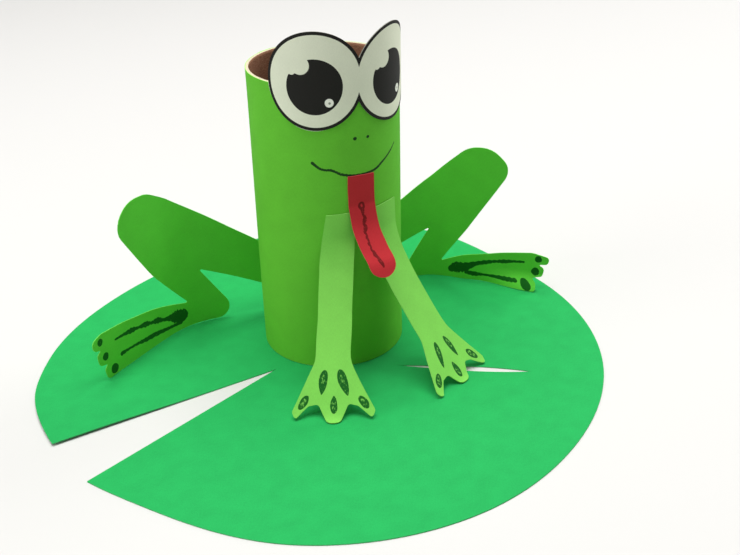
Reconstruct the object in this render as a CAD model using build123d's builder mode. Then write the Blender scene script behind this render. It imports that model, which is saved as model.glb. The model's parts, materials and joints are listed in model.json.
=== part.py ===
from build123d import *
from math import cos, degrees, radians, sin
import os

# A paper frog made from a cardboard tube, standing on a paper lily pad.
# The origin is on the tube's axis at the pad's underside.  +Z is up, the face looks along -Y, and left
# and right are as seen from the front.  Angles round the tube are in degrees from the face towards +X.

# ---- driving dimensions, mm ----
PAPER = 0.25                 # coloured paper of the legs and the tongue
TUBE_TOP = 91.7              # height of the tube's rim above the table
TUBE_RADIUS = 22.6           # outside of the green wrap
WRAP = 0.2                   # green wrapping paper
PLY = 0.4                    # each of the tube's two wound plies
GLUE = 0.15                  # dried glue film

PAD_THICK = 0.3
PAD_CENTRE = (-10.5, -12.7)
PAD_RADII = (89.5, 90, 89, 87, 85.2, 88, 89.6, 84, 87, 88, 87.3, 88.5)   # hand-cut rim, every 30 degrees
NOTCH = ((-26.2, -11.9), (-106, -16.8), (-100, -39.0))                 # apex, then beyond the rim
SLIT_ENDS = ((6.5, -28.6), (41.7, -53.6))
SLIT_HALF_GAP = 0.9

SEAM_ANGLE = 205             # overlap of the wrap, at the back
SEAM_WIDTH = 6

EYE_RADIUS = 14.05           # one eye, measured on the flat card
EYE_SPREAD = 12.8            # from the face's middle to an eye's centre, along the card
EYE_HEIGHT = 92.9
EYE_CARD = 0.3
EYE_CARD_BOTTOM = 78.8

TONGUE_WIDTH = 8.6
TONGUE_TOP = 64.1
TONGUE_FOLD = 55.0           # below this height the tongue hangs free
TONGUE_PROFILE = ((1.8, 48.6), (6.9, 43.6), (11.1, 40.9), (13.5, 37.2))    # out from the fold, height
TONGUE_TIP_HEIGHT = 3.9      # height of the rounded tip

LEG_TAB_TOP = 53.0
LEG_FOLD = 45.0
LEG_HEEL = 13.2              # height where a front leg widens into its foot
FRONT_LEGS = {"left": (-20, -28, 10.2), "right": (20, 24, 11.8)}       # place, direction, width of the strip
FRONT_PROFILE = ((3.0, 34.5), (9.5, 24.0), (16.0, 15.0), (28.3, 0.8))  # out from the fold, height
FOOT_OUTLINE = ((11.7, 2.3), (11.0, 0.6), (4.8, 6.2), (1.2, 0.6))      # right half, outer toe to middle toe

HIND_SKEW = 7.5              # the hind legs' plane is turned a little against the face
HIND_FOLD = 6.6              # from the back's middle line to each leg's fold
HIND_FOLD_DEPTH = 22.0
HIND_PLAN = ((6.9, 22.0), (25, 22.7), (40, 22.3), (48, 19.5), (56, 14), (71, 2), (80, -6))
HIND_OUTLINES = {
    "left": ((6.9, 18.3), (18.2, 27.0), (47.3, 48.7), (51.0, 51.6), (55.6, 52.9), (61.0, 51.6), (64.6, 48.0),
             (64.4, 42.5), (54.8, 24.7), (43.5, 9.2), (57.4, 13.6), (67.4, 15.8), (75.7, 16.6), (77.0, 14.0),
             (74.9, 12.0), (76.0, 8.8), (73.6, 6.8), (74.0, 2.2), (72.6, 0.6), (33.3, 0.6), (29.6, 2.4),
             (29.0, 4.6), (39.0, 20.6), (17.7, 10.9), (6.9, 5.9)),
    "right": ((6.9, 15.5), (34.0, 32.2), (51.6, 46.5), (54.8, 49.8), (58.5, 51.2), (63.0, 49.2), (66.2, 43.6),
              (63.5, 36.0), (57.5, 24.5), (47.5, 7.4), (54.8, 10.2), (65.1, 12.5), (75.0, 13.7), (77.8, 12.2),
              (75.3, 9.6), (76.3, 7.0), (74.2, 5.2), (74.9, 2.0), (73.4, 0.6), (39.1, 0.6), (36.4, 2.6),
              (36.3, 6.6), (44.4, 20.4), (33.8, 15.7), (6.9, 5.0)),
}
HIND_TAB_HEIGHTS = {"left": (5.9, 18.3), "right": (5.0, 15.5)}
HIND_REACH = 30              # no part of a hind leg is further than this from the plane through the axis
HIND_TOP = 60                # or higher than this

FOLD_GAP = 0.3               # sheet edges stand this far back from a fold's line
GLUE_EDGE = 0.5              # a glue film stops this far inside the paper's edge
LEG_GLUE_EDGE = 2.4          # and this far inside the sides of a front leg's tab
EYE_CUT_START = 8            # the eyes are cut from here outwards, clear of the sheet's far side
SLACK = 1                    # cutting shapes run this far past what they cut

# ---- derived ----
PAD_TOP = PAD_THICK
TUBE_BOTTOM = PAD_TOP + GLUE
OUTER_PLY_RADIUS = TUBE_RADIUS - WRAP
INNER_PLY_RADIUS = OUTER_PLY_RADIUS - PLY
BORE_RADIUS = INNER_PLY_RADIUS - PLY
TAB_RADIUS = TUBE_RADIUS + GLUE            # inside of the sheets glued on the tube
FOLD_RADIUS = 23.1                         # middle of a strip where it leaves the tube


def around(radius, angle, height=0):
    """Point or direction at an angle from the face, round the tube's axis."""
    return Vector(radius * sin(radians(angle)), -radius * cos(radians(angle)), height)


def save(piece, name):
    piece.part.label = name
    export_step(piece.part, f"parts/{name}.step")


def ring(inner, outer, low, high):
    with BuildPart() as piece:
        with BuildSketch(Plane.XY.offset(low)):
            Circle(outer)
            Circle(inner, mode=Mode.SUBTRACT)
        extrude(amount=high - low)
    return piece


def tube_patch(inner, outer, angle, width, low, high):
    """Sheet of a given width bent round the tube, centred on an angle."""
    half = degrees(width / 2 / outer)
    with BuildPart() as piece:
        with BuildSketch(Plane.XY.offset(low)):
            with BuildLine():
                near = CenterArc((0, 0), inner, angle - 90 - half, 2 * half)
                far = CenterArc((0, 0), outer, angle - 90 - half, 2 * half)
                Line(near @ 0, far @ 0)
                Line(near @ 1, far @ 1)
            make_face()
        extrude(amount=high - low)
    return piece


def eye_shape(inner, outer, low):
    """Two joined round eyes cut from a sheet bent round the tube, above a given height."""
    shrink = sin(EYE_RADIUS / outer) * outer / EYE_RADIUS      # a bent circle looks narrower from the front
    with BuildPart() as piece:
        for side in (-1, 1):
            angle = side * degrees(EYE_SPREAD / outer)
            start = around(EYE_CUT_START, angle, EYE_HEIGHT)
            facing = Plane(start, x_dir=around(1, angle + 90), z_dir=around(1, angle))
            with BuildSketch(facing):
                Ellipse(EYE_RADIUS * shrink, EYE_RADIUS)
            extrude(amount=outer)
        with BuildSketch(Plane.XY.offset(low)):
            Circle(outer)
            Circle(inner, mode=Mode.SUBTRACT)
        extrude(amount=EYE_HEIGHT + EYE_RADIUS + SLACK - low, mode=Mode.INTERSECT)
    return piece


def hanging_strip(fold, direction, profile, outline):
    """Strip that leaves the tube at a fold, bent along a side profile and cut to a front outline."""
    below_fold = Vector(fold.X, fold.Y)
    front = Plane(below_fold, x_dir=around(1, direction + 90), z_dir=around(1, direction))
    side = Plane(below_fold, x_dir=around(1, direction), z_dir=-around(1, direction + 90))
    (out, height), (tip_out, tip_height) = profile[-2:]
    with BuildPart() as piece:
        with BuildSketch(front.offset(-SLACK)):
            with BuildLine():
                Polyline(*outline, close=True)
            make_face()
        extrude(amount=tip_out + 2 * SLACK)
        with BuildSketch(side):
            with BuildLine():
                tip_tangent = (tip_out - out, tip_height - height)
                Spline((0, fold.Z - FOLD_GAP), *profile, tangents=((0, -1), tip_tangent))
            trace(line_width=PAPER)
        extrude(amount=max(x for x, _ in outline) + SLACK, both=True, mode=Mode.INTERSECT)
    return piece


os.makedirs("parts", exist_ok=True)

# ---- lily pad: one round sheet with a V notch and a narrow slit ----
with BuildPart() as lily_pad:
    with BuildSketch():
        with BuildLine():
            rim = [
                (PAD_CENTRE[0] + radius * cos(turn), PAD_CENTRE[1] + radius * sin(turn))
                for turn, radius in ((radians(30 * step), radius) for step, radius in enumerate(PAD_RADII))
            ]
            Spline(*rim, periodic=True)
        make_face()
        with BuildLine():
            Polyline(*NOTCH, close=True)
        make_face(mode=Mode.SUBTRACT)
        with BuildLine():
            slit_line = Line(*SLIT_ENDS, mode=Mode.PRIVATE)
            bulge = Vector(-slit_line.tangent_at(0).Y, slit_line.tangent_at(0).X) * SLIT_HALF_GAP
            ThreePointArc(slit_line @ 0, slit_line @ 0.5 + bulge, slit_line @ 1)
            ThreePointArc(slit_line @ 0, slit_line @ 0.5 - bulge, slit_line @ 1)
        make_face(mode=Mode.SUBTRACT)
    extrude(amount=PAD_THICK)
save(lily_pad, "lily_pad")

# ---- tube: two wound plies, the green wrap with its overlap, and the glue under it ----
save(ring(BORE_RADIUS, OUTER_PLY_RADIUS, PAD_TOP, TUBE_BOTTOM), "base_glue")
save(ring(BORE_RADIUS, INNER_PLY_RADIUS, TUBE_BOTTOM, TUBE_TOP), "tube_inner_ply")
save(ring(INNER_PLY_RADIUS, OUTER_PLY_RADIUS, TUBE_BOTTOM, TUBE_TOP), "tube_outer_ply")

overlap = tube_patch(TUBE_RADIUS, TUBE_RADIUS + WRAP, SEAM_ANGLE, SEAM_WIDTH, TUBE_BOTTOM, TUBE_TOP)
with BuildPart() as green_wrap:
    add(ring(OUTER_PLY_RADIUS, TUBE_RADIUS, TUBE_BOTTOM, TUBE_TOP).part)
    add(overlap.part)
save(green_wrap, "green_wrap")

# ---- eyes: one card that stands above the rim, glued on at its lower part ----
eye_card = eye_shape(TAB_RADIUS, TAB_RADIUS + EYE_CARD, EYE_CARD_BOTTOM)
save(eye_card, "eye_card")

with BuildPart() as eye_card_glue:
    add(eye_shape(TUBE_RADIUS, TAB_RADIUS, EYE_CARD_BOTTOM).part)
    with BuildSketch(Plane.XY.offset(EYE_CARD_BOTTOM)):
        Circle(TAB_RADIUS + SLACK)
    extrude(amount=TUBE_TOP - EYE_CARD_BOTTOM, mode=Mode.INTERSECT)
save(eye_card_glue, "eye_card_glue")

# ---- tongue: glued root, then the free stretch that curls out ----
root_low = TONGUE_FOLD + FOLD_GAP
save(tube_patch(TAB_RADIUS, TAB_RADIUS + PAPER, 0, TONGUE_WIDTH, root_low, TONGUE_TOP), "tongue_root")
glue_width = TONGUE_WIDTH - 2 * GLUE_EDGE
tongue_glue = tube_patch(TUBE_RADIUS, TAB_RADIUS, 0, glue_width, root_low, TONGUE_TOP - GLUE_EDGE)
save(tongue_glue, "tongue_glue")

half_tongue = TONGUE_WIDTH / 2
tip_low = TONGUE_PROFILE[-1][1]
tongue_outline = [(-half_tongue, TONGUE_FOLD), (half_tongue, TONGUE_FOLD)] + [
    (half_tongue * cos(radians(turn)), tip_low + TONGUE_TIP_HEIGHT * (1 - sin(radians(turn))))
    for turn in range(0, 181, 15)
]
tongue = hanging_strip(around(FOLD_RADIUS, 0, TONGUE_FOLD), 0, TONGUE_PROFILE, tongue_outline)
save(tongue, "tongue")

# ---- front legs: glued tab, then a strip that slopes down to a three-toed foot ----
for name, (place, direction, width) in FRONT_LEGS.items():
    right_half = [(width / 2, LEG_FOLD), (width / 2, LEG_HEEL), *FOOT_OUTLINE]
    leg_outline = right_half + [(-x, z) for x, z in reversed(right_half)]
    tab_low = LEG_FOLD + FOLD_GAP
    tab = tube_patch(TAB_RADIUS, TAB_RADIUS + PAPER, place, width, tab_low, LEG_TAB_TOP)
    save(tab, f"front_leg_{name}_tab")
    glue_width = width - 2 * LEG_GLUE_EDGE
    glue = tube_patch(TUBE_RADIUS, TAB_RADIUS, place, glue_width, tab_low, LEG_TAB_TOP - GLUE_EDGE)
    save(glue, f"front_leg_{name}_glue")
    leg = hanging_strip(around(FOLD_RADIUS, place, LEG_FOLD), direction, FRONT_PROFILE, leg_outline)
    save(leg, f"front_leg_{name}")

# ---- hind legs: glued tab at the back, then a Z-shaped sheet standing on edge ----
# in this plane x runs along the leg and y to the back
back = Plane((0, 0, 0), x_dir=around(1, 90 - HIND_SKEW), z_dir=(0, 0, 1))
for name, outline in HIND_OUTLINES.items():
    side = -1 if name == "left" else 1
    tab_middle = 180 - HIND_SKEW - side * degrees(HIND_FOLD / 2 / TAB_RADIUS)
    tab_width = HIND_FOLD - FOLD_GAP
    low, high = HIND_TAB_HEIGHTS[name]
    save(tube_patch(TAB_RADIUS, TAB_RADIUS + PAPER, tab_middle, tab_width, low, high), f"hind_leg_{name}_tab")
    glue_width = tab_width - 2 * GLUE_EDGE
    glue = tube_patch(TUBE_RADIUS, TAB_RADIUS, tab_middle, glue_width, low + GLUE_EDGE, high - GLUE_EDGE)
    save(glue, f"hind_leg_{name}_glue")

    along = Plane(back.origin, x_dir=back.x_dir * side, z_dir=-back.y_dir * side)
    with BuildPart() as hind_leg:
        with BuildSketch(along.offset(-HIND_REACH)):
            with BuildLine():
                Polyline(*outline, close=True)
            make_face()
        extrude(amount=2 * HIND_REACH)
        with BuildSketch(back):
            with BuildLine():
                Spline(*[(side * x, y) for x, y in HIND_PLAN])
            trace(line_width=PAPER)
        extrude(amount=HIND_TOP, mode=Mode.INTERSECT)
    save(hind_leg, f"hind_leg_{name}")
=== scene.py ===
import json
import math

import bpy
import numpy as np
from mathutils import Matrix, Vector
from mathutils.geometry import delaunay_2d_cdt

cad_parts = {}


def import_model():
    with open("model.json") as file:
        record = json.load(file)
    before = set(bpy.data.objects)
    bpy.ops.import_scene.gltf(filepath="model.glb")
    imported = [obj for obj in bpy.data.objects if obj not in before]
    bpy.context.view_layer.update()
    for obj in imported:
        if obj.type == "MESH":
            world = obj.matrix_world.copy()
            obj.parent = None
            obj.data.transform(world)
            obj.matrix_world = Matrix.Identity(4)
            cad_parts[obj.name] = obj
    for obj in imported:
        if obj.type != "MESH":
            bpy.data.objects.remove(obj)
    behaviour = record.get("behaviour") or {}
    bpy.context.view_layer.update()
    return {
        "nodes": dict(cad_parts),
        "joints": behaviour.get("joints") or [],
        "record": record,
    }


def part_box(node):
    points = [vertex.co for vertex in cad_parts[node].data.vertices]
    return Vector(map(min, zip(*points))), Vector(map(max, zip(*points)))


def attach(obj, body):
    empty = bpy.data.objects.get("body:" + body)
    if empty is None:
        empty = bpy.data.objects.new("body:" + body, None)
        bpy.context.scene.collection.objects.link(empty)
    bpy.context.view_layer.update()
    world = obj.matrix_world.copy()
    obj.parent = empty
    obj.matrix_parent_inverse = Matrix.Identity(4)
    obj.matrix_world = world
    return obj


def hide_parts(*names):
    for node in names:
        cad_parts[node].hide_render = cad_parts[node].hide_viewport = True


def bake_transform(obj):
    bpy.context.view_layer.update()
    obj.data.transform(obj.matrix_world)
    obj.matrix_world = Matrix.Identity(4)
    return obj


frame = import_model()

# The looks of a paper frog on a lily pad.  Every paper piece is cut flat, in millimetres, with its ink
# drawn on it, and is then bent into place as one thin closed sheet.  Flat coordinates are (u, v) with v
# upwards on the standing pieces.  Angles round the tube are in radians from the face (-Y) towards +X.

MM = 0.001
ROOT = "frog_on_pad"
JOINTS = {joint["name"]: joint for joint in frame["joints"]}
MOUNTS = {mount["name"]: mount for mount in frame["record"]["mounts"]}


# ---------------------------------------------------------------- places read from the frame, in mm
def low_high(node):
    low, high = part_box(node)
    return np.array(low) / MM, np.array(high) / MM


def pivot(joint):
    return np.array(JOINTS[joint]["pos_m"]) / MM


PAPER = 0.25                                      # thickness of the tongue and the legs
CARD = 0.3                                        # thickness of the eye card
BORE = MOUNTS["tube_bore"]["dims"]["r_mm"]
PLY_JOIN = low_high("tube_inner_ply")[1][0]       # radius where the tube's two plies meet
BOARD = low_high("tube_outer_ply")[1][0]          # outside radius of the tube's board
TUBE_LOW, TUBE_TOP = low_high("green_wrap")[0][2], low_high("green_wrap")[1][2]
WRAP = 0.2                                        # wrapping paper
GLUE = 0.15                                       # dried glue film
WRAP_MIDDLE = BOARD + WRAP / 2
GLUED = BOARD + WRAP + GLUE + PAPER / 2           # middle of a strip glued on the tube
PAD_TOP = low_high("lily_pad")[1][2]


# ---------------------------------------------------------------- flat drawing
def spread(points, step):
    """A closed loop with extra points so that none of its edges is longer than step."""
    out = []
    for a, b in zip(points, np.roll(points, -1, axis=0)):
        parts = max(1, math.ceil(np.linalg.norm(b - a) / step))
        out += [a + (b - a) * i / parts for i in range(parts)]
    return np.array(out)


ARC_STEP = math.radians(14)                       # most that an arc turns between two of its points


def cut(corners, step=1.0, unsteady=0.07):
    """Outline cut by hand: corners (u, v, radius) joined by straight cuts, with a slight tremble."""
    pts = np.array([c[:2] for c in corners], float)
    out = []
    for i, (_, _, radius) in enumerate(corners):
        here, before, after = pts[i], pts[i - 1], pts[(i + 1) % len(pts)]
        a, b = before - here, after - here
        la, lb = np.linalg.norm(a), np.linalg.norm(b)
        a, b = a / la, b / lb
        half = math.acos(np.clip(a @ b, -1, 1)) / 2        # half the angle between the two cuts
        reach = min(radius / max(math.tan(half), 1e-3), 0.49 * la, 0.49 * lb)
        if half > math.radians(89):
            out.append(here)
            continue
        radius = reach * math.tan(half)
        axis = (a + b) / np.linalg.norm(a + b)
        centre = here + axis * radius / math.sin(half)
        start, end = here + a * reach - centre, here + b * reach - centre
        turn = math.atan2(start[0] * end[1] - start[1] * end[0], start @ end)
        steps = max(2, math.ceil(abs(turn) / ARC_STEP))
        for k in range(steps + 1):
            c, s = math.cos(turn * k / steps), math.sin(turn * k / steps)
            out.append(centre + np.array([c * start[0] - s * start[1], s * start[0] + c * start[1]]))
    loop = spread(np.array(out), step)
    round_trip = 2 * math.pi * np.arange(len(loop)) / len(loop)
    loop[:, 0] += unsteady * (np.sin(7 * round_trip) + 0.6 * np.sin(17 * round_trip + 1))
    loop[:, 1] += unsteady * (np.cos(9 * round_trip + 2) + 0.6 * np.sin(21 * round_trip))
    return loop


def smooth_line(points, per_span=8):
    """Catmull-Rom curve through points; any number of columns."""
    p = np.array(points, float)
    p = np.vstack([2 * p[0] - p[1], p, 2 * p[-1] - p[-2]])
    t = np.linspace(0, 1, per_span, endpoint=False)[:, None]
    spans = [
        0.5 * (2 * b + (c - a) * t + (2 * a - 5 * b + 4 * c - d) * t ** 2
               + (3 * b - a - 3 * c + d) * t ** 3)
        for a, b, c, d in zip(p[:-3], p[1:-2], p[2:-1], p[3:])
    ]
    return np.vstack(spans + [p[-2:-1]])


def stroke(points, seed=0.0):
    """Pen stroke through (u, v, width) points, as a closed loop with uneven sides and round ends."""
    line = smooth_line(points, 6)
    along = np.gradient(line[:, :2], axis=0)
    along /= np.linalg.norm(along, axis=1)[:, None]
    across = np.stack([-along[:, 1], along[:, 0]], 1)
    n = np.arange(len(line))
    left = 1 + 0.13 * np.sin(1.9 * n + seed) + 0.08 * np.sin(4.3 * n + 2 * seed)
    right = 1 + 0.13 * np.sin(2.3 * n + 1 + seed) + 0.08 * np.sin(3.7 * n + seed)
    half = line[:, 2:3] / 2
    sides = [line[:, :2] + across * half * left[:, None], line[:, :2] - across * half * right[:, None]]
    turns = np.radians([60, 20, -20, -60])[:, None]
    ends = [
        line[k, :2] + half[k] * (way * along[k] * np.cos(turns) + way * across[k] * np.sin(turns))
        for k, way in ((-1, 1), (0, -1))
    ]
    return np.vstack([sides[0], ends[0], sides[1][::-1], ends[1]])


def blob(u, v, width, height, lean=0.0, point=0.0, points=22):
    """Ellipse, or with point > 0 a drop with its tip up; lean turns it anticlockwise, in degrees."""
    t = np.linspace(0, 2 * math.pi, points, endpoint=False)
    x = width / 2 * np.sin(t) * np.sin(t / 2) ** point * (1 + 0.35 * point)
    y = height / 2 * np.cos(t)
    x, y = x * (1 + 0.05 * np.sin(3 * t + u)), y * (1 + 0.04 * np.sin(2 * t + v))
    c, s = math.cos(math.radians(lean)), math.sin(math.radians(lean))
    return np.stack([u + c * x - s * y, v + s * x + c * y], 1)


def circle(u, v, radius, points=48):
    t = np.linspace(0, 2 * math.pi, points, endpoint=False)
    return np.stack([u + radius * np.cos(t), v + radius * np.sin(t)], 1)


def inside(points, loop):
    """Whether each point is inside the closed loop."""
    x, y = points[:, :1], points[:, 1:2]
    (ax, ay), (bx, by) = loop.T, np.roll(loop, -1, axis=0).T
    slope = (bx - ax) / np.where(by == ay, 1e-12, by - ay)
    crossed = ((ay > y) != (by > y)) & (x < ax + (y - ay) * slope)
    return crossed.sum(1) % 2 == 1


# ---------------------------------------------------------------- bending
def ease(x):
    x = np.clip(x, 0, 1)
    return x * x * (3 - 2 * x)


class Bend:
    """A plane curve that is walked by its length, starting at its first point."""

    def __init__(self, points):
        self.line = smooth_line(points, 24)
        steps = np.linalg.norm(np.diff(self.line, axis=0), axis=1)
        self.length = np.concatenate([[0], np.cumsum(steps)])

    def at(self, s):
        past = np.maximum(s - self.length[-1], 0)[..., None]
        end = (self.line[-1] - self.line[-2]) / np.linalg.norm(self.line[-1] - self.line[-2])
        here = np.stack([np.interp(s, self.length, self.line[:, k]) for k in (0, 1)], -1)
        return here + past * end


def round_tube(radius, angle, height):
    return np.stack([radius * np.sin(angle), -radius * np.cos(angle), height], -1)


def heading(angle):
    """Level direction at an angle round the tube, and the level direction across it."""
    s, c = math.sin(angle), math.cos(angle)
    return np.array([s, -c, 0]), np.array([c, s, 0])


UP = np.array([0, 0, 1.0])


# ---------------------------------------------------------------- sheets
CLEAR = 0.45                                      # part of a grid step that fill points keep from an edge
TINY = 0.02                                       # mm either way that a sheet's slope is measured over


def fill_points(outline, border, grid):
    """Points of a staggered grid inside outline, none of them close to a border point."""
    low, high = outline.min(0), outline.max(0)
    columns, rows = np.maximum(2, np.ceil((high - low) / grid)).astype(int)
    uu, vv = np.meshgrid(np.linspace(low[0], high[0], columns + 1), np.linspace(low[1], high[1], rows + 1))
    stagger = (np.indices(uu.shape)[0].ravel() % 2) * grid * 0.5
    fill = np.stack([uu.ravel() + stagger, vv.ravel()], 1)
    fill = fill[inside(fill, outline)]
    gap = np.array([np.min(np.abs(border - p).max(1)) for p in fill])
    return fill[gap > CLEAR * grid]


def triangles(outline, loops, holes, grid):
    """Flat points and triangles that fill outline but not holes, with every loop along their edges."""
    border = np.vstack(loops)
    edges, first = [], 0
    for loop in loops:
        edges += [(first + i, first + (i + 1) % len(loop)) for i in range(len(loop))]
        first += len(loop)
    points = [Vector(p) for p in np.vstack([border, fill_points(outline, border, grid)])]
    flat, _, faces, _, _, _ = delaunay_2d_cdt(points, edges, [], 0, 1e-5)
    flat, faces = np.array([tuple(p) for p in flat]), np.array(faces)
    middle = flat[faces].mean(1)
    keep = inside(middle, outline)
    for hole in holes:
        keep &= ~inside(middle, hole)
    faces = faces[keep]
    a, b, c = (flat[faces[:, k]] for k in (0, 1, 2))
    turned = (b[:, 0] - a[:, 0]) * (c[:, 1] - a[:, 1]) - (b[:, 1] - a[:, 1]) * (c[:, 0] - a[:, 0]) < 0
    faces[turned] = faces[turned][:, ::-1]
    used = np.unique(faces)
    renumber = np.full(len(flat), -1)
    renumber[used] = np.arange(len(used))
    return flat[used], renumber[faces]


def inked(middle, marks):
    """Material number of each triangle: 0 on bare paper, and elsewhere that of its last mark."""
    numbers = np.zeros(len(middle), int)
    for number, loop, blank in marks:
        hit = inside(middle, loop)
        if blank is not None:
            hit &= ~inside(middle, blank)
        numbers[hit] = number
    return numbers


def two_sided(u, v, place, thick):
    """The sheet's points on its front and then on its back, in metres."""
    across = place(u + TINY, v) - place(u - TINY, v)
    along = place(u, v + TINY) - place(u, v - TINY)
    normal = np.cross(across, along)
    normal /= np.linalg.norm(normal, axis=1)[:, None]
    here = place(u, v)
    return np.vstack([here + normal * thick / 2, here - normal * thick / 2]) * MM


def lay_out(mesh, flat):
    """Stores each point's place on the flat paper, in mm, as the UV map that the materials use."""
    uv = mesh.uv_layers.new(name="flat")
    corner = np.zeros(len(mesh.loops), np.int32)
    mesh.loops.foreach_get("vertex_index", corner)
    uv.data.foreach_set("uv", flat[corner].astype(np.float32).ravel())


def new_object(name, data):
    made = bpy.data.objects.new(name, data)
    bpy.context.scene.collection.objects.link(made)
    return made


def sheet(name, outline, place, thick, materials, marks=(), holes=(), grid=1.5):
    """One closed sheet of paper: cut along outline, inked with marks, bent by place(u, v).

    materials is (face, cut edge, ink, ...); marks are (material number, loop, loop left blank or None).
    """
    loops = [outline, *holes]
    for _, loop, blank in marks:
        loops += [loop] if blank is None else [loop, blank]
    flat, faces = triangles(outline, loops, holes, grid)
    points = two_sided(flat[:, 0], flat[:, 1], place, thick)
    n = len(flat)                                 # a back point's number is its front point's plus n
    sides = [(face[i], face[j]) for face in faces for i, j in ((0, 1), (1, 2), (2, 0))]
    taken = set(sides)
    rim = [(int(i), int(j)) for i, j in sides if (j, i) not in taken]
    polygons = [*faces.tolist(), *(faces[:, ::-1] + n).tolist()]
    polygons += [(j, i, i + n, j + n) for i, j in rim]
    mesh = bpy.data.meshes.new(name)
    mesh.from_pydata(points.tolist(), [], polygons)
    numbers = np.concatenate([inked(flat[faces].mean(1), marks), np.zeros(len(faces)), np.ones(len(rim))])
    mesh.polygons.foreach_set("material_index", numbers.astype(np.int32))
    mesh.polygons.foreach_set("use_smooth", np.ones(len(polygons), bool))
    mesh.update()
    rim_edges = {frozenset((i + k, j + k)) for i, j in rim for k in (0, n)}
    sharp = mesh.attributes.new("sharp_edge", "BOOLEAN", "EDGE")
    sharp.data.foreach_set("value", [frozenset(edge.vertices) in rim_edges for edge in mesh.edges])
    lay_out(mesh, np.vstack([flat, flat]))
    for material in materials:
        mesh.materials.append(material)
    mesh.validate()
    return new_object(name, mesh)


# ---------------------------------------------------------------- materials
def srgb(*display):
    """Linear colour from red, green and blue display values, 0 to 255."""
    linear = [((c / 255 + 0.055) / 1.055) ** 2.4 if c > 10 else c / 255 / 12.92 for c in display]
    return (*linear, 1.0)


def grey_tint(value):
    return (value, value, value, 1)


class Nodes:
    """Short names for building a material's nodes on flat paper coordinates, in mm."""

    def __init__(self, name):
        self.material = bpy.data.materials.new(name)
        self.material.use_nodes = True
        self.tree = self.material.node_tree
        self.shader = self.tree.nodes["Principled BSDF"]
        self.coordinates = self.tree.nodes.new("ShaderNodeUVMap")
        self.coordinates.uv_map = "flat"

    def add(self, kind, **values):
        node = self.tree.nodes.new(kind)
        for key, value in values.items():
            setattr(node, key, value)
        return node

    def link(self, source, target):
        self.tree.links.new(source, target)

    def stretched(self, x, y):
        node = self.add("ShaderNodeMapping")
        self.link(self.coordinates.outputs[0], node.inputs[0])
        node.inputs["Scale"].default_value = (x, y, 1)
        return node.outputs[0]

    def noise(self, scale, detail=2.0, where=None):
        node = self.add("ShaderNodeTexNoise")
        self.link(where or self.coordinates.outputs[0], node.inputs["Vector"])
        node.inputs["Scale"].default_value = scale
        node.inputs["Detail"].default_value = detail
        return node.outputs["Fac"]

    def ramp(self, source, stops):
        node = self.add("ShaderNodeValToRGB")
        elements = node.color_ramp.elements
        while len(elements) < len(stops):
            elements.new(0.5)
        for element, (place, colour) in zip(elements, stops):
            element.position = place
            element.color = colour
        self.link(source, node.inputs[0])
        return node.outputs["Color"]

    def shade(self, source, start, end, dark):
        """Grey that rises from dark to white as source goes from start to end."""
        return self.ramp(source, [(start, grey_tint(dark)), (end, grey_tint(1.0))])

    def mix(self, factor, first, second, blend="MIX"):
        node = self.add("ShaderNodeMix", data_type="RGBA", blend_type=blend)
        for value, socket in ((factor, 0), (first, 6), (second, 7)):
            if isinstance(value, (int, float, tuple)):
                node.inputs[socket].default_value = value
            else:
                self.link(value, node.inputs[socket])
        return node.outputs[2]

    def times(self, first, second):
        return self.mix(1.0, first, second, "MULTIPLY")

    def between(self, source, low, high):
        """A number from low to high as source goes from 0 to 1."""
        node = self.add("ShaderNodeMapRange")
        self.link(source, node.inputs["Value"])
        node.inputs["To Min"].default_value = low
        node.inputs["To Max"].default_value = high
        return node.outputs["Result"]

    def bumps(self, layers, distance):
        """Stacks (height, strength) layers into one normal."""
        normal = None
        for height, strength in layers:
            node = self.add("ShaderNodeBump")
            node.inputs["Strength"].default_value = strength
            node.inputs["Distance"].default_value = distance
            self.link(height, node.inputs["Height"])
            if normal is not None:
                self.link(normal, node.inputs["Normal"])
            normal = node.outputs["Normal"]
        self.link(normal, self.shader.inputs["Normal"])

    def finished(self, colour, gloss):
        """The material, with its colour and specular level set."""
        self.link(colour, self.shader.inputs["Base Color"])
        self.shader.inputs["Specular IOR Level"].default_value = gloss
        return self.material


def paper_grain(nodes, colour, depth):
    """Colour with the cloudy look-through of pulp, and fine fibres that lie upright and level."""
    cloud = nodes.shade(nodes.noise(0.16, 3), 0.3, 0.7, 1 - depth)
    upright = nodes.shade(nodes.noise(1.0, 3, nodes.stretched(5.5, 1.3)), 0.35, 0.62, 1 - depth)
    level = nodes.shade(nodes.noise(1.0, 2, nodes.stretched(1.6, 6.5)), 0.4, 0.6, 1 - depth / 2)
    return nodes.times(nodes.times(nodes.times(colour, cloud), upright), level)


def paper_relief(nodes, strength=0.3):
    """Broad cockling, fibres and fine tooth, with the roughness following the tooth."""
    tooth = nodes.noise(3.2, 3)
    fibres = nodes.noise(1.0, 3, nodes.stretched(6.0, 1.6))
    cockle = nodes.noise(0.09, 1)
    nodes.bumps([(cockle, strength * 0.5), (fibres, strength * 0.6), (tooth, strength)], 0.05 * MM)
    nodes.link(nodes.between(tooth, 0.78, 0.94), nodes.shader.inputs["Roughness"])


def paper(name, colour, depth=0.07):
    nodes = Nodes(name)
    paper_relief(nodes)
    return nodes.finished(paper_grain(nodes, colour, depth), 0.15)


def pen(name, colour, under, cover):
    """Felt-tip ink on coloured paper; cover is how much of the paper it hides, 0 to 1."""
    nodes = Nodes(name)
    start = 0.42 - cover * 0.3
    hidden = nodes.shade(nodes.noise(1.0, 3, nodes.stretched(2.2, 1.1)), start, start + 0.2, 0.15)
    patches = nodes.shade(nodes.noise(2.5, 3), 0.3, 0.7, 0.8)
    paper_relief(nodes)
    return nodes.finished(nodes.times(nodes.mix(hidden, under, colour), patches), 0.3)


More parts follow.
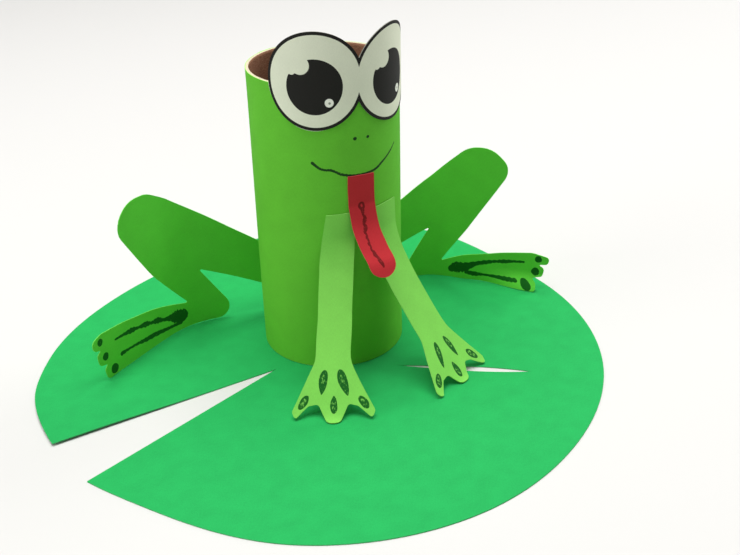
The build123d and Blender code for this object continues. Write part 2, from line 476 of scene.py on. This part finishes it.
def printed(name, colour):
    """Flat print on card: even, with a trace of toner grain and a faint gloss."""
    nodes = Nodes(name)
    grain = nodes.shade(nodes.noise(4.0, 2), 0.3, 0.7, 0.82)
    paper_relief(nodes, 0.15)
    return nodes.finished(nodes.times(colour, grain), 0.4)


def board(name, colour, light):
    """Raw brown tube board: coarse fibres that run round the tube, cloudy patches and dark flecks."""
    nodes = Nodes(name)
    fibres = nodes.noise(1.0, 4, nodes.stretched(0.9, 3.6))
    base = nodes.ramp(fibres, [(0.3, colour), (0.72, light)])
    cloud = nodes.shade(nodes.noise(0.12, 2), 0.3, 0.7, 0.82)
    flecks = nodes.shade(nodes.noise(2.6, 2), 0.30, 0.38, 0.55)
    nodes.bumps([(nodes.noise(0.5, 2), 0.4), (fibres, 0.6)], 0.08 * MM)
    nodes.shader.inputs["Roughness"].default_value = 0.92
    return nodes.finished(nodes.times(nodes.times(base, cloud), flecks), 0.2)


def glue_film():
    """Dried glue: milky, slightly shiny and lumpy.  It sits on plain solids, so it uses object space."""
    nodes = Nodes("dried_glue")
    lumps = nodes.noise(900, 3, nodes.add("ShaderNodeTexCoord").outputs["Object"])
    nodes.bumps([(lumps, 0.5)], 0.05 * MM)
    nodes.shader.inputs["Roughness"].default_value = 0.38
    milky = nodes.ramp(lumps, [(0.3, srgb(205, 203, 190)), (0.7, srgb(235, 233, 222))])
    return nodes.finished(milky, 0.5)


# The wrap, the front legs and the hind legs are one green paper. Its three colours here are lit and shaded
# copies: the standing wrap's is darkened as painted shade, and the legs' are lightened as painted light.
GREEN = srgb(103, 194, 54)
GREEN_EDGE = srgb(160, 222, 110)
LIT_FRONT_GREEN = srgb(131, 213, 88)
LIT_HIND_GREEN = srgb(104, 216, 69)
PAD_GREEN = srgb(36, 169, 86)
RED = srgb(190, 46, 52)
INK_GREEN = srgb(8, 96, 18)

# The green papers below are lit and shaded copies of one paper, and so are their cut edges: their colours
# differ by painted light and painted shade.
green_paper = paper("green_paper", GREEN)
green_edge = paper("green_paper_edge", GREEN_EDGE)
front_paper = paper("front_leg_paper", LIT_FRONT_GREEN)
front_edge = paper("front_leg_edge", srgb(148, 222, 104))
hind_paper = paper("hind_leg_paper", LIT_HIND_GREEN)
hind_edge = paper("hind_leg_edge", srgb(112, 210, 80))
pad_paper = paper("pad_paper", PAD_GREEN, 0.09)
pad_edge = paper("pad_paper_edge", srgb(70, 194, 112))
red_paper = paper("tongue_paper", RED)
red_edge = paper("tongue_paper_edge", srgb(230, 84, 90))
card_paper = paper("eye_card_paper", srgb(228, 232, 210), 0.04)
card_edge = paper("eye_card_edge", srgb(138, 138, 126), 0.04)
mouth_ink = pen("mouth_ink", srgb(22, 66, 17), GREEN, 0.9)
front_ink = pen("front_foot_ink", INK_GREEN, LIT_FRONT_GREEN, 0.7)
front_scribble = pen("front_foot_scribble", INK_GREEN, LIT_FRONT_GREEN, 0.25)
hind_ink = pen("hind_foot_ink", srgb(0, 98, 10), LIT_HIND_GREEN, 0.85)
tongue_ink = pen("tongue_ink", srgb(112, 6, 8), RED, 0.6)
black_print = printed("black_print", srgb(20, 18, 14))
white_print = printed("white_print", srgb(246, 248, 236))
grey_print = printed("grey_print", srgb(150, 156, 138))
tube_board = board("tube_board", srgb(126, 84, 62), srgb(168, 124, 96))
tube_cut = board("tube_board_cut", srgb(196, 184, 152), srgb(226, 216, 188))
glue = glue_film()


# ---------------------------------------------------------------- lily pad
PAD_CENTRE = np.array([-10.5, -12.7])
PAD_RADII = (89.5, 90, 89, 87, 85.2, 88, 89.6, 84, 87, 88, 87.3, 88.5)   # every 30 degrees from +X
NOTCH_APEX = (-26.2, -11.9)
NOTCH_REAR, NOTCH_FRONT = 182.4, 196.1            # degrees where its cuts meet the rim
NOTCH_MIDDLE = 189                                # degrees; a direction that lies in the notch
REAR_TRIM = 2.1                                   # the rim is cut in this much at the notch's rear corner
TRIM_FROM, TRIM_OVER = 22, 20                     # degrees from where it starts to the corner, and to grow
SLIT = ((6.5, -28.6), (41.7, -53.6))
SLIT_HALF_GAP = 1.4
REAR_CURL, TIP_CURL = 4.2, 0.7                    # rise of the rear right rim, and of the notch's rear tip


def pad_outline():
    """The rim from the notch's front corner round to its rear one, and the notch's inner end."""
    turns = np.radians(np.arange(NOTCH_FRONT, NOTCH_REAR + 360, 1.0))
    three_times = np.tile(PAD_RADII, 3)
    known = np.arange(len(three_times)) * 360 / len(PAD_RADII)
    radii = smooth_line(np.stack([known, three_times], 1), 10)
    radius = np.interp(np.degrees(turns) + 360, radii[:, 0], radii[:, 1])
    radius -= REAR_TRIM * ease((np.degrees(turns) - 360 - NOTCH_REAR + TRIM_FROM) / TRIM_OVER)
    rim = PAD_CENTRE + np.stack([radius * np.cos(turns), radius * np.sin(turns)], 1)
    return spread(np.vstack([rim, [NOTCH_APEX]]), 1.6)


def slit_loop():
    """A narrow opening, widest a little beyond its middle."""
    a, b = (np.array(p) for p in SLIT)
    side = np.array([a[1] - b[1], b[0] - a[0]]) / np.linalg.norm(b - a)
    t = np.linspace(0, 1, 25)[:, None]
    bulge = SLIT_HALF_GAP * np.sin(math.pi * t ** 1.3) ** 0.8
    there = a + (b - a) * t
    return np.vstack([there + side * bulge, (there - side * bulge)[-2:0:-1]])


def pad_place(u, v):
    """Flat on the table, with the rear right rim and the notch's rear tip curling up a little."""
    du, dv = u - PAD_CENTRE[0], v - PAD_CENTRE[1]
    angle, radius = np.degrees(np.arctan2(dv, du)), np.hypot(du, dv)
    outer = ease((radius - 42) / 46)              # from 42 mm out, and in full at the rim
    # the rear right rim is from 12 to 100 degrees, and the rear tip from 150 degrees to the notch
    rear_right = REAR_CURL * outer * ease((angle - 12) / 26) * ease((100 - angle) / 45)
    behind = np.where(angle < 0, angle + 360, angle)
    rear_tip = TIP_CURL * ease((radius - 30) / 45) * ease((behind - 150) / 25) * (behind < NOTCH_MIDDLE)
    return np.stack([u, v, PAD_TOP / 2 + rear_right + rear_tip], -1)


pad = sheet("lily_pad_sheet", pad_outline(), pad_place, PAD_TOP, [pad_paper, pad_edge],
            holes=[slit_loop()], grid=3.0)
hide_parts("lily_pad")
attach(pad, ROOT)


# ---------------------------------------------------------------- cardboard tube
SEAM_PITCH = 84.0                                 # rise of a ply's spiral seam in one turn
GROOVE_DEPTH, GROOVE_HALF = 0.07, 0.8182          # how deep the seam is, and half its height
OUTER_GROOVE = 0.3                                # the seam is this much as deep on the ply's outer face
FACE_GAP = 0.01                                   # keeps the faces of two layers apart
INNER_SHIFT = 40                                  # mm; so that a ply's inner face has fibres of its own


def wound_ply(name, inner, outer, seam_start, node):
    """One ply of the tube, with the butt seam of its spiral winding on both faces."""
    columns, rows = 180, 92
    angle = np.linspace(0, 2 * math.pi, columns, endpoint=False)
    height = np.linspace(TUBE_LOW, TUBE_TOP, rows + 1)
    aa, hh = np.meshgrid(angle, height)
    lead = (hh - seam_start) / SEAM_PITCH - aa / (2 * math.pi)
    off = (lead - np.round(lead)) * SEAM_PITCH
    groove = GROOVE_DEPTH * np.exp(-(off / GROOVE_HALF) ** 2)
    outer_skin = round_tube(outer - FACE_GAP - OUTER_GROOVE * groove, aa, hh)
    inner_skin = round_tube(inner + groove, aa, hh)
    points = np.vstack([outer_skin.reshape(-1, 3), inner_skin.reshape(-1, 3)]) * MM
    count = columns * (rows + 1)
    faces, numbers = [], []
    for r in range(rows):
        for c in range(columns):
            a, b = r * columns + c, r * columns + (c + 1) % columns
            faces.append((a, b, b + columns, a + columns))
            faces.append((a + count, a + columns + count, b + columns + count, b + count))
            numbers += [0, 0]
    top = rows * columns
    for c in range(columns):
        d = (c + 1) % columns
        faces.append((c, c + count, d + count, d))
        faces.append((top + c, top + d, top + d + count, top + c + count))
        numbers += [1, 1]
    mesh = bpy.data.meshes.new(name)
    mesh.from_pydata(points.tolist(), [], faces)
    mesh.polygons.foreach_set("material_index", np.array(numbers, np.int32))
    mesh.polygons.foreach_set("use_smooth", np.array(numbers) == 0)
    around = np.stack([(aa * inner).ravel(), hh.ravel()], 1)
    lay_out(mesh, np.vstack([around, around + INNER_SHIFT]))
    mesh.materials.append(tube_board)
    mesh.materials.append(tube_cut)
    mesh.update()
    piece = new_object(name, mesh)
    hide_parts(node)
    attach(piece, ROOT)


wound_ply("tube_inner_board", BORE, PLY_JOIN - FACE_GAP, 22.0, "tube_inner_ply")
wound_ply("tube_outer_board", PLY_JOIN, BOARD, 60.0, "tube_outer_ply")


# ---------------------------------------------------------------- green wrap, with mouth and nostrils
SEAM_ANGLE = math.radians(205)
SEAM_WIDTH = 6.0
SEAM_RISE = 1.2                                   # width over which the upper layer climbs onto the lower
SWELL, SWELL_FADE = 0.03, 6                       # two faint waves in the paper, which fade at its top
MOUTH = (                                         # degrees from the face's middle, height, pen width
    (-35.9, 69.2, 0.95), (-33.0, 68.2, 0.8), (-30.2, 67.4, 0.75), (-26.5, 67.0, 0.7), (-22.8, 66.9, 0.8),
    (-19.0, 66.2, 0.7), (-15.4, 65.4, 0.8), (-10.0, 64.8, 0.75), (-4.9, 64.45, 0.7), (2.5, 64.35, 0.65),
    (9.8, 64.5, 0.7), (15.0, 65.0, 0.8), (19.2, 65.9, 0.75), (24.5, 66.9, 0.6), (29.3, 67.9, 0.6),
    (33.5, 68.9, 0.5), (37.2, 70.0, 0.4),
)
NOSTRILS = ((-3.9, 75.6, 1.15), (6.7, 75.35, 1.0))    # degrees, height, width


def wrap_place(u, v):
    """u runs along the paper from the face's middle; its far end laps over its start at the back."""
    angle = u / WRAP_MIDDLE
    climb = SEAM_ANGLE * WRAP_MIDDLE - SEAM_WIDTH / 2 - SEAM_RISE
    over = ease((u - climb) / SEAM_RISE)
    swell = SWELL * np.sin(3 * angle + v / 22) + SWELL * np.sin(5 * angle - v / 15 + 1)
    return round_tube(WRAP_MIDDLE + over * WRAP + swell * ease((TUBE_TOP - v) / SWELL_FADE), angle, v)


seam_end = SEAM_ANGLE * WRAP_MIDDLE + SEAM_WIDTH / 2
seam_begin = seam_end - SEAM_WIDTH - 2 * math.pi * WRAP_MIDDLE
wrap_outline = cut([(seam_begin, TUBE_LOW, 0), (seam_end, TUBE_LOW, 0), (seam_end, TUBE_TOP, 0),
                    (seam_begin, TUBE_TOP, 0)], 1.4, 0.0)
wrap_marks = [(2, stroke([(math.radians(a) * WRAP_MIDDLE, z, w) for a, z, w in MOUTH]), None)]
wrap_marks += [(2, blob(math.radians(a) * WRAP_MIDDLE, z, w, w * 0.9), None) for a, z, w in NOSTRILS]
wrap = sheet("wrap_sheet", wrap_outline, wrap_place, WRAP,
             [green_paper, green_edge, mouth_ink], wrap_marks)
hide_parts("green_wrap")
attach(wrap, ROOT)


# ---------------------------------------------------------------- eye card
EYES = ((-12.6, 93.1), (12.7, 92.3))
EYE_RADIUS = 14.05
LINE = 0.92                                       # printed outline
PUPIL = (-0.1, -1.5, 7.95)                        # from the eye's centre: across, up, radius
BITE = (-3.85, 4.7, 2.65)
SMALL_BITE = (-6.35, 3.15, 1.2)
GLINT = (3.85, -6.05, 1.25)
GLINT_DOT = (3.95, -6.15, 0.34)


def two_circles(radius):
    """Outline of two joined circles round the eyes' centres."""
    (ax, ay), (bx, by) = EYES
    middle, half = np.array([ax + bx, ay + by]) / 2, math.hypot(bx - ax, by - ay) / 2
    tilt = math.atan2(by - ay, bx - ax)
    open_half = math.acos(half / radius)
    arc = np.linspace(open_half, 2 * math.pi - open_half, 74)
    left = np.stack([-half + radius * np.cos(arc), radius * np.sin(arc)], 1)
    right = -left
    loop = np.vstack([left[:-1], right[:-1]])
    c, s = math.cos(tilt), math.sin(tilt)
    return middle + loop @ np.array([[c, s], [-s, c]])


def pupil_loop(x, y):
    """Round pupil with a scalloped highlight bitten out of its upper left."""
    ring = circle(x + PUPIL[0], y + PUPIL[1], PUPIL[2], 90)
    for dx, dy, radius in (BITE, SMALL_BITE):
        centre = np.array([x + dx, y + dy])
        bite = circle(*centre, radius, 40)
        out = np.linalg.norm(ring - centre, axis=1) > radius
        start = int(np.argmax(~out & np.roll(out, 1)))
        ring, out = np.roll(ring, -start, axis=0), np.roll(out, -start)
        kept = ring[out]
        inner = bite[inside(bite, ring)]
        first = int(np.argmin(np.linalg.norm(inner - kept[-1], axis=1)))
        inner = np.roll(inner, -first, axis=0)
        next_step, usual_step = np.linalg.norm(inner[1:3] - inner[:2], axis=1)
        if next_step > 3 * usual_step:            # the arc starts with a jump, so it runs the wrong way
            inner = np.roll(inner[::-1], 1, axis=0)
        ring = np.vstack([kept, inner])
    return ring


def card_place(u, v):
    radius = BOARD + WRAP + GLUE + CARD / 2
    return round_tube(radius, u / radius, v)


card_marks = [(2, two_circles(EYE_RADIUS), two_circles(EYE_RADIUS - LINE))]
for x, y in EYES:
    card_marks.append((2, pupil_loop(x, y), None))
    for number, (dx, dy, radius), points in ((3, GLINT, 28), (4, GLINT_DOT, 12)):
        card_marks.append((number, circle(x + dx, y + dy, radius, points), None))
card = sheet("eye_card_sheet", two_circles(EYE_RADIUS), card_place, CARD,
             [card_paper, card_edge, black_print, white_print, grey_print], card_marks, grid=1.2)
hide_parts("eye_card")
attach(card, ROOT)


# ---------------------------------------------------------------- tongue
FLATTEN = 7.0                                     # a strip is flat this far below its fold


def strip_place(joint, profile, toward):
    """A strip that is glued round the tube down to the joint's fold and stands away from it below."""
    fold = pivot(joint)
    spot = math.atan2(fold[0], -fold[1])
    out, across = heading(toward)
    step = math.hypot(fold[0], fold[1]) - GLUED   # the fold's line stands this far off the glued sheet
    bend = Bend([(0, fold[2]), *((x + step, z) for x, z in profile)])
    base = fold * (1, 1, 0) - step * out

    def place(u, v):
        path = bend.at(np.maximum(-v, 0))
        glued = round_tube(GLUED, spot + u / GLUED, path[..., 1] + np.maximum(v, 0))
        flat = base + u[..., None] * across + path[..., 1:] * UP
        return glued + (flat - glued) * ease(-v / FLATTEN)[..., None] + path[..., :1] * out

    return place


def blend_at_fold(piece):
    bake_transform(piece)


TONGUE_PROFILE = ((1.8, 48.6), (6.9, 43.6), (11.1, 40.9), (13.5, 37.2))    # mm out from the fold, height
SCRIBBLE = (                                      # across, up from the fold, pen width
    (-0.25, -1.8, 1.2), (-0.2, -3.1, 0.7), (0.2, -4.0, 1.1), (-0.15, -5.0, 1.25), (-0.5, -5.9, 0.8),
    (-0.2, -6.6, 1.2), (-0.5, -7.5, 1.3), (-0.95, -8.3, 0.9), (-0.7, -9.2, 0.6), (-1.0, -10.2, 0.85),
    (-0.8, -11.2, 0.6), (-1.15, -12.1, 0.9), (-0.95, -13.1, 0.55), (-1.2, -14.0, 0.7), (-0.8, -15.0, 1.0),
    (-0.85, -16.2, 1.25), (-0.45, -17.2, 0.9), (-0.4, -18.3, 1.2), (-0.05, -19.3, 1.1), (0.1, -20.3, 0.6),
)
tongue_outline = cut([(-4.3, 9.5, 0.2), (-4.3, -23.4, 4.1), (4.3, -23.4, 4.1), (4.3, 9.1, 0.2)], 0.8, 0.04)
pen_loop = (blob(-0.35, -0.35, 2.2, 2.7, 8), blob(-0.3, -0.2, 0.6, 1.2, 8))    # ring, and its blank middle
tongue_marks = [(2, stroke(SCRIBBLE, 1.0), None), (2, *pen_loop)]
tongue = sheet("tongue_strip", tongue_outline, strip_place("tongue_lift", TONGUE_PROFILE, 0.0), PAPER,
               [red_paper, red_edge, tongue_ink], tongue_marks, grid=0.8)
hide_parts("tongue", "tongue_root")
blend_at_fold(tongue)


# ---------------------------------------------------------------- front legs
FRONT_PROFILE = (                                 # mm out from the fold, height
    (0.15, 42.4), (0.95, 39.2), (3.0, 34.5), (9.5, 24.0), (16.0, 15.2), (22.5, 7.4), (26.5, 2.9),
    (28.8, 0.95), (32.0, 0.6),
)
TAB = 8.0                                         # height of a front leg's glued tab
CUT_AT_FOLD = 0.32                                # part of the tab's cut-in that is left at the fold
HEEL = -36.3                                      # where a front leg widens into its foot
OUTER_TOE = ((12.0, -14.4, 1.4), (11.1, -16.7, 1.1), (7.1, -12.9, 1.3), (4.4, -12.3, 1.3))
TOE_HALF, TOE_ROUND = 1.75, 2.2                   # the blunt middle toe
CORNER, HEEL_ROUND, SIDE_ROUND = 0.3, 9.0, 20.0   # radii of the tab's corners, the heel and the long sides
# half width, lean of the strip, how far the tab's top is cut in, foot size, middle toe, width of the drops
LEG_SHAPES = {
    "left": (5.1, 0.062, 1.5, 1.02, -18.3, 1.0),
    "right": (6.2, -0.035, 0.0, 1.06, -16.9, 0.75),
}


def front_outline(half, lean, cut_in, size, toe):
    """Down the left side, round the foot, whose two halves are alike, and up the right side."""
    heel, top = lean * HEEL, lean * TAB
    side = [(half, 0, HEEL_ROUND), *((x * size, y * size, r) for x, y, r in OUTER_TOE),
            (TOE_HALF * size, toe * size, TOE_ROUND)]
    tab = [(top + cut_in - half, TAB, CORNER), (CUT_AT_FOLD * cut_in - half, 0.0, SIDE_ROUND),
           (-half - top, -TAB, SIDE_ROUND)]
    left = [(heel - x, HEEL + y, r) for x, y, r in side]
    right = [(heel + x, HEEL + y, r) for x, y, r in side[::-1]]
    return [*tab, *left, *right, (half + top, TAB, CORNER)]


SOLES = (                                         # drops and toe ovals, then the paler part inside each
    ((-2.9, -6.1, 2.5, 7.2, 172, 0.5), (-2.9, -5.1, 1.1, 3.0, -8)),
    ((3.0, -6.3, 2.7, 8.0, 198, 0.5), (2.6, -5.5, 0.9, 3.0, 18)),
    ((-8.6, -11.8, 2.2, 4.6, -32, 0.0), (-8.6, -11.8, 1.2, 3.0, -32)),
    ((0.1, -12.6, 2.1, 5.2, 0, 0.45), (0.1, -13.2, 1.0, 2.4, 0)),
    ((8.7, -12.0, 2.3, 4.3, 38, 0.0), (8.7, -12.0, 1.1, 2.5, 38)),
)


def front_marks(way, lean, size, slim):
    """Two long drops, made slim, and three toe ovals; a way of -1 mirrors them."""
    marks = []
    for rank, pair in enumerate(SOLES):
        for number, (u, v, width, height, turn, *point) in zip((2, 3), pair):
            wide = width * (slim if rank < 2 else 1)
            loop = blob(u, v, wide, height, turn, *point) * size * (way, 1) + (lean * HEEL, HEEL)
            marks.append((number, loop, None))
    return marks


for side, way in (("left", 1), ("right", -1)):
    joint = JOINTS[f"front_leg_{side}_lift"]
    toward = math.atan2(-joint["axis"][1], -joint["axis"][0])
    half, lean, cut_in, size, toe, slim = LEG_SHAPES[side]
    outline = cut(front_outline(half, lean, cut_in, size, toe), 0.8)
    leg = sheet(f"front_leg_{side}_strip", outline, strip_place(joint["name"], FRONT_PROFILE, toward),
                PAPER, [front_paper, front_edge, front_ink, front_scribble],
                front_marks(way, lean, size, slim), grid=1.0)
    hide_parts(f"front_leg_{side}", f"front_leg_{side}_tab")
    blend_at_fold(leg)


# ---------------------------------------------------------------- hind legs
LEFT_FOLD, RIGHT_FOLD = pivot("hind_leg_left_swing"), pivot("hind_leg_right_swing")
ALONG = (RIGHT_FOLD - LEFT_FOLD) * (1, 1, 0) / np.linalg.norm((RIGHT_FOLD - LEFT_FOLD)[:2])
TO_BACK = np.array([-ALONG[1], ALONG[0], 0])
HIND_PLAN = (                                     # out from the back's middle, distance behind the axis
    (0, GLUED), (3.1, 22.66), (5.6, 22.15), (7.2, 22.0), (11, 22.2), (25, 22.7), (40, 22.3), (48, 19.5),
    (56, 14), (71, 2), (80, -6),
)
FOOT_GAP = 0.3                                    # the sheets' lower edges stay this far above the pad
KICKS = {-1: 0.0, 1: 4.2}                         # how far forward each foot's lowest toe comes
KICK_FROM, KICK_OVER = 62, 16                     # the toe bends forward from here out, over this much
KICK_UNDER = 6.5                                  # and below this height
HIND_CORNERS = {                                  # out along the sheet, height, radius
    "left": (
        (0.15, 5.8, 0.3), (0.15, 18.4, 0.3), (7.0, 18.7, 5), (18.2, 27.0, 40), (47.6, 48.4, 20),
        (55.7, 53.1, 9), (64.3, 53.4, 9), (70.6, 46.6, 7), (57.0, 24.9, 30), (43.7, 9.4, 0.3),
        (60.0, 14.0, 60), (72.7, 16.2, 30), (83.0, 17.4, 3.0), (87.1, 16.4, 2.0), (86.8, 12.9, 2.0),
        (83.0, 11.9, 0.5), (85.6, 11.0, 1.8), (85.0, 7.0, 1.8), (81.2, 6.0, 0.5), (83.2, 4.9, 1.8),
        (82.4, 0.6, 1.8), (25.8, 0.6, 4.5), (39.0, 20.7, 0.4), (17.7, 10.9, 40), (7.0, 5.8, 5),
    ),
    "right": (
        (0.15, 4.9, 0.3), (0.15, 15.6, 0.3), (7.0, 15.8, 5), (33.9, 32.2, 60), (45.0, 40.2, 30),
        (57.6, 51.3, 9), (65.9, 51.2, 9), (71.2, 45.9, 9), (71.2, 41.8, 9), (57.5, 20.5, 60),
        (48.2, 7.1, 0.3), (56.7, 10.2, 30), (69.6, 12.6, 40), (81.0, 14.1, 6), (87.2, 12.8, 1.2),
        (86.6, 10.4, 1.4), (82.6, 9.8, 0.5), (85.4, 8.8, 1.5), (84.8, 5.4, 1.5), (80.6, 4.5, 0.5),
        (81.6, 3.5, 1.6), (80.4, 0.6, 1.6), (32.0, 0.6, 4.5), (44.5, 20.5, 0.4), (33.7, 15.6, 40),
        (7.0, 4.9, 5),
    ),
}
HIND_INK = {                                      # two pen lines down the foot, then the toes' dots
    "left": ((((46.6, 5.6, 4.6), (49.5, 6.4, 4.4), (51.6, 7.0, 2.4), (55.0, 7.9, 1.2), (57.5, 9.0, 2.2),
               (60.5, 9.6, 1.1), (63.0, 10.4, 2.0), (66.5, 11.0, 1.0), (69.5, 11.6, 1.9), (73.0, 12.0, 1.1),
               (77.0, 12.3, 0.7)),
              ((47.5, 3.4, 1.4), (51.0, 3.5, 1.1), (54.5, 3.9, 1.3), (59.5, 4.7, 1.7), (64.0, 5.1, 1.5),
               (68.0, 5.7, 1.0), (72.0, 6.0, 0.9), (75.0, 6.1, 1.6))),
             ((83.6, 14.8, 2.4), (82.1, 9.0, 2.6), (79.0, 2.9, 3.3))),
    "right": ((((52.2, 4.2, 2.6), (54.0, 4.9, 4.2), (57.0, 5.4, 3.4), (61.0, 7.2, 1.7), (64.5, 8.2, 1.6),
                (68.0, 9.0, 1.1), (71.0, 9.4, 1.5), (74.5, 9.9, 1.0), (78.0, 10.2, 0.9)),
               ((57.5, 3.4, 1.4), (60.5, 3.1, 1.8), (64.0, 3.2, 0.9), (68.0, 3.2, 1.2), (71.5, 3.1, 1.5),
                (74.5, 3.2, 1.2))),
              ((83.2, 12.0, 2.5), (82.3, 7.1, 2.9), (77.6, 2.4, 3.5))),
}


def hind_place(side):
    """A sheet standing on edge, on the left for a side of -1 and on the right for 1.

    Each leg follows the same plan, but for the right foot's lowest toe, which bends forward.
    """
    bend = Bend(HIND_PLAN)

    def place(u, v):
        path = bend.at(np.abs(u))
        low = ease((KICK_UNDER - v) / KICK_UNDER)
        forward = KICKS[side] * ease((np.abs(u) - KICK_FROM) / KICK_OVER) * low
        back = path[..., 1] - forward
        return side * path[..., :1] * ALONG + back[..., None] * TO_BACK + v[..., None] * UP

    return place


for name, side in (("left", -1), ("right", 1)):
    joint = JOINTS[f"hind_leg_{name}_swing"]
    outline = cut([(side * x, y, r) for x, y, r in HIND_CORNERS[name]][::side], 1.0)
    outline[:, 1] = np.maximum(outline[:, 1], PAD_TOP + FOOT_GAP)
    lines, dots = HIND_INK[name]
    ink = [(2, stroke([(side * x, y, w) for x, y, w in line], 2.0), None) for line in lines]
    ink += [(2, blob(side * x, y, w, w * 1.05), None) for x, y, w in dots]
    leg = sheet(f"hind_leg_{name}_sheet", outline, hind_place(side), PAPER,
                [hind_paper, hind_edge, hind_ink], ink, grid=1.3)
    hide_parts(f"hind_leg_{name}", f"hind_leg_{name}_tab")
    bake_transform(leg)


# ---------------------------------------------------------------- glue films stay as the CAD has them
for node, piece in frame["nodes"].items():
    if "glue" in node:
        piece.data.materials.clear()
        piece.data.materials.append(glue)


# ---------------------------------------------------------------- floor, light and camera
FLOOR_FLAT, FLOOR_SWEEP = 1.5, 0.9                # metres: flat disc, then a quarter-round sweep up
FLOOR_DROP = 0.05                                 # mm that the floor lies below the pad
AIM = Vector((0, 0, 0.04))                        # where the lamps point


def floor():
    """A pale disc whose rim sweeps up all round, so that no horizon shows from any side."""
    steps = 96
    arcs = np.radians(np.linspace(0, 90, 19))
    section = np.stack([FLOOR_FLAT + FLOOR_SWEEP * np.sin(arcs), FLOOR_SWEEP * (1 - np.cos(arcs))], 1)
    turns = 2 * math.pi * np.arange(steps) / steps
    points = [(r * math.cos(t), r * math.sin(t), z) for r, z in section for t in turns]
    faces = [tuple(range(steps))]
    for ring in range(len(section) - 1):
        for k in range(steps):
            here, there = ring * steps + k, ring * steps + (k + 1) % steps
            faces.append((here, here + steps, there + steps, there))
    mesh = bpy.data.meshes.new("floor")
    mesh.from_pydata(points, [], faces)
    mesh.polygons.foreach_set("use_smooth", [True] * len(faces))
    piece = new_object("floor", mesh)
    piece.location.z = -FLOOR_DROP * MM
    material = bpy.data.materials.new("pale_floor")
    material.use_nodes = True
    shader = material.node_tree.nodes["Principled BSDF"]
    shader.inputs["Base Color"].default_value = (0.62, 0.61, 0.59, 1)
    shader.inputs["Roughness"].default_value = 0.9
    mesh.materials.append(material)


def soft_light(name, place, size, power):
    data = bpy.data.lights.new(name, "AREA")
    data.shape = "RECTANGLE"
    data.size, data.size_y = size
    data.energy = power
    lamp = new_object(name, data)
    lamp.location = place
    lamp.rotation_euler = (AIM - lamp.location).to_track_quat("-Z", "Y").to_euler()


def world():
    made = bpy.data.worlds.new("studio")
    made.use_nodes = True
    background = made.node_tree.nodes["Background"]
    background.inputs["Color"].default_value = (0.95, 0.97, 1.0, 1)
    background.inputs["Strength"].default_value = 0.22
    bpy.context.scene.world = made
    bpy.context.scene.view_settings.view_transform = "Standard"


VIEW_AZIMUTH = math.radians(25.5)                 # the viewer stands this far round to the face's left
VIEW_REACH, VIEW_HEIGHT = 0.30825, 0.18564        # metres: level distance from the tube's axis, height
VIEW_TURN, VIEW_PITCH, VIEW_ROLL = (math.radians(turn) for turn in (2.305, 28.31, -1.481))
VIEW_LENS = 52.465                                # mm, for a sensor 36 mm wide


def camera():
    data = bpy.data.cameras.new("camera")
    data.lens, data.sensor_width = VIEW_LENS, 36
    data.clip_start, data.clip_end = 0.01, 20
    course = VIEW_AZIMUTH + VIEW_TURN
    level = Vector((math.sin(course), math.cos(course), 0))
    forward = level * math.cos(VIEW_PITCH) - Vector((0, 0, math.sin(VIEW_PITCH)))
    right = Vector((math.cos(course), -math.sin(course), 0))
    up = right.cross(forward)
    c, s = math.cos(VIEW_ROLL), math.sin(VIEW_ROLL)
    right, up = c * right + s * up, c * up - s * right
    piece = new_object("camera", data)
    turn = Matrix((right, up, -forward)).transposed().to_4x4()
    away = Vector((-math.sin(VIEW_AZIMUTH), -math.cos(VIEW_AZIMUTH), 0))
    spot = VIEW_REACH * away + Vector((0, 0, VIEW_HEIGHT))
    piece.matrix_world = Matrix.Translation(spot) @ turn
    bpy.context.scene.camera = piece


floor()
world()
soft_light("overhead", (0.0, 0.07, 1.1), (1.0, 0.8), 17.5)
soft_light("side_left", (-1.1, 0.05, 0.4), (0.6, 0.7), 4.5)
soft_light("side_right", (1.1, 0.15, 0.4), (0.6, 0.7), 6.0)
camera()
